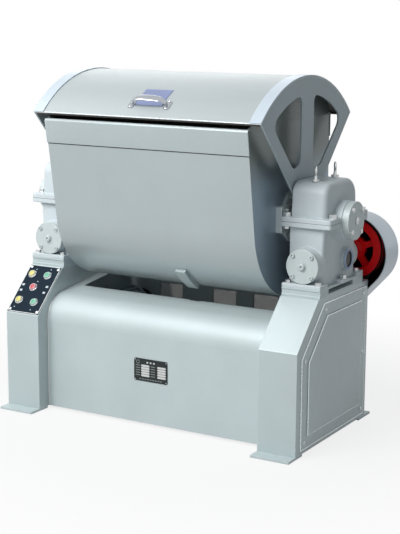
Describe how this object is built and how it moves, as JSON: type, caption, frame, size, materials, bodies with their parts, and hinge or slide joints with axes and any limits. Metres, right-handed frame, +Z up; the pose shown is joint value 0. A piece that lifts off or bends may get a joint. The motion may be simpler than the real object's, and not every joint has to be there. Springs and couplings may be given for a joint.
{
  "type": "tilting dough mixer",
  "caption": "Trough dough mixer: a tilting tank with a barred stirrer under a hinged hood, between worm gear cases on sheet pedestals.",
  "frame": {"origin": "on the floor, under the middle of the overall width and depth", "axes": "+X to the machine's left-to-right as seen from the front, +Y to the rear, +Z up; the panel and nameplate face -Y"},
  "size_m": [1.167, 0.6448, 1.092],
  "materials": {
    "machine_paint": "silver-grey hammered paint, satin",
    "lid_paint": "silver-grey paint, smooth satin",
    "stainless": "brushed",
    "steel": "machined",
    "bright_steel": "plated",
    "gear_bronze": "machined bronze",
    "pulley_red": "red paint, satin",
    "cast_housing": "silver-grey paint on casting",
    "belt_rubber": "matte",
    "panel_navy": "dark printed plate, satin",
    "plate_dark": "dark anodised plate, satin",
    "button_yellow": "gloss",
    "button_green": "gloss",
    "button_red": "gloss",
    "gauge_glass": "clear",
    "gland_plastic": "matte"
  },
  "bodies": {
    "frame": {"left_pedestal": "machine_paint", "right_pedestal": "machine_paint", "foot_plates": "machine_paint", "left_side_cover": "machine_paint", "right_side_cover": "machine_paint", "sheet_screws": "bright_steel", "gear_seats": "machine_paint", "base_beams": "machine_paint", "front_cover": "machine_paint", "rear_cover": "machine_paint", "nameplate": "plate_dark", "control_panel": "panel_navy", "button_bezels": "bright_steel", "left_gear_case": "cast_housing", "right_gear_case": "cast_housing", "left_gear_cover": "cast_housing", "right_gear_cover": "cast_housing", "case_bolts": "bright_steel", "pivot_bushes": "cast_housing", "shaft_bearings": "steel", "worm_caps": "cast_housing", "shaft_end_caps": "cast_housing", "cap_fasteners": "bright_steel", "sight_gauges": "gauge_glass", "eye_bolts": "bright_steel", "mixing_motor": "cast_housing", "tilt_motor": "cast_housing", "mixing_belts": "belt_rubber", "tilt_belts": "belt_rubber", "right_belt_guard": "machine_paint", "left_belt_guard": "machine_paint", "cable_gland": "gland_plastic"},
    "tank": {"tank_shell": "machine_paint", "rim_band": "machine_paint", "stop_claw": "machine_paint", "left_trunnion": "cast_housing", "right_trunnion": "cast_housing", "trunnion_bolts": "bright_steel", "tilt_worm_wheel": "gear_bronze"},
    "mixing_shaft": {"mixer_shaft": "steel", "stirrer": "stainless", "mixing_worm_wheel": "gear_bronze"},
    "mixing_worm_line": {"mixing_worm": "steel", "mixing_pulley": "pulley_red"},
    "mixing_motor_line": {"mixing_motor_pulley": "pulley_red"},
    "tilt_worm_line": {"tilt_worm": "steel", "tilt_pulley": "pulley_red"},
    "tilt_motor_line": {"tilt_motor_pulley": "pulley_red"},
    "lid": {"lid_sheet": "lid_paint", "lid_bands": "lid_paint", "left_lid_sector": "lid_paint", "right_lid_sector": "lid_paint", "lid_handle": "bright_steel", "handle_pad": "stainless", "handle_screws": "bright_steel"},
    "button_yellow_upper_body": {"button_yellow_upper": "button_yellow"},
    "button_green_upper_body": {"button_green_upper": "button_green"},
    "button_red_body": {"button_red": "button_red"},
    "button_yellow_lower_body": {"button_yellow_lower": "button_yellow"},
    "button_green_lower_body": {"button_green_lower": "button_green"}
  },
  "joints": [
    {"name": "mixing_spin", "type": "hinge", "parent": "frame", "child": "mixing_shaft", "pos_m": [0, 0.01664, 0.667], "axis": [1, 0, 0], "continuous": true},
    {"name": "mixing_worm_spin", "type": "hinge", "parent": "frame", "child": "mixing_worm_line", "pos_m": [0.462, 0.01664, 0.541], "axis": [0, 1, 0], "continuous": true},
    {"name": "mixing_motor_spin", "type": "hinge", "parent": "frame", "child": "mixing_motor_line", "pos_m": [0.316, 0.01664, 0.279], "axis": [0, 1, 0], "continuous": true},
    {"name": "tank_tilt", "type": "hinge", "parent": "frame", "child": "tank", "pos_m": [0, 0.01664, 0.667], "axis": [1, 0, 0], "range_deg": [0, 90]},
    {"name": "tilt_worm_spin", "type": "hinge", "parent": "frame", "child": "tilt_worm_line", "pos_m": [-0.462, 0.01664, 0.541], "axis": [0, 1, 0], "range_deg": [-2165, 5]},
    {"name": "tilt_motor_spin", "type": "hinge", "parent": "frame", "child": "tilt_motor_line", "pos_m": [-0.316, 0.01664, 0.279], "axis": [0, 1, 0], "range_deg": [-4330, 10]},
    {"name": "lid_swing", "type": "hinge", "parent": "frame", "child": "lid", "pos_m": [0, 0.01664, 0.667], "axis": [-1, 0, 0], "range_deg": [0, 45]},
    {"name": "button_yellow_upper_press", "type": "slide", "parent": "frame", "child": "button_yellow_upper_body", "axis": [0, 0.7018, -0.7123], "range_m": [0, 0.004], "stiffness_N_per_m": 800, "springref_m": -0.001},
    {"name": "button_green_upper_press", "type": "slide", "parent": "frame", "child": "button_green_upper_body", "axis": [0, 0.7018, -0.7123], "range_m": [0, 0.004], "stiffness_N_per_m": 800, "springref_m": -0.001},
    {"name": "button_red_press", "type": "slide", "parent": "frame", "child": "button_red_body", "axis": [0, 0.7018, -0.7123], "range_m": [0, 0.004], "stiffness_N_per_m": 800, "springref_m": -0.001},
    {"name": "button_yellow_lower_press", "type": "slide", "parent": "frame", "child": "button_yellow_lower_body", "axis": [0, 0.7018, -0.7123], "range_m": [0, 0.004], "stiffness_N_per_m": 800, "springref_m": -0.001},
    {"name": "button_green_lower_press", "type": "slide", "parent": "frame", "child": "button_green_lower_body", "axis": [0, 0.7018, -0.7123], "range_m": [0, 0.004], "stiffness_N_per_m": 800, "springref_m": -0.001}
  ],
  "couplings": [
    {"joint": "mixing_worm_spin", "follows": "mixing_spin", "ratio": -24},
    {"joint": "mixing_motor_spin", "follows": "mixing_spin", "ratio": -48},
    {"joint": "tilt_worm_spin", "follows": "tank_tilt", "ratio": -24},
    {"joint": "tilt_motor_spin", "follows": "tank_tilt", "ratio": -48}
  ]
}
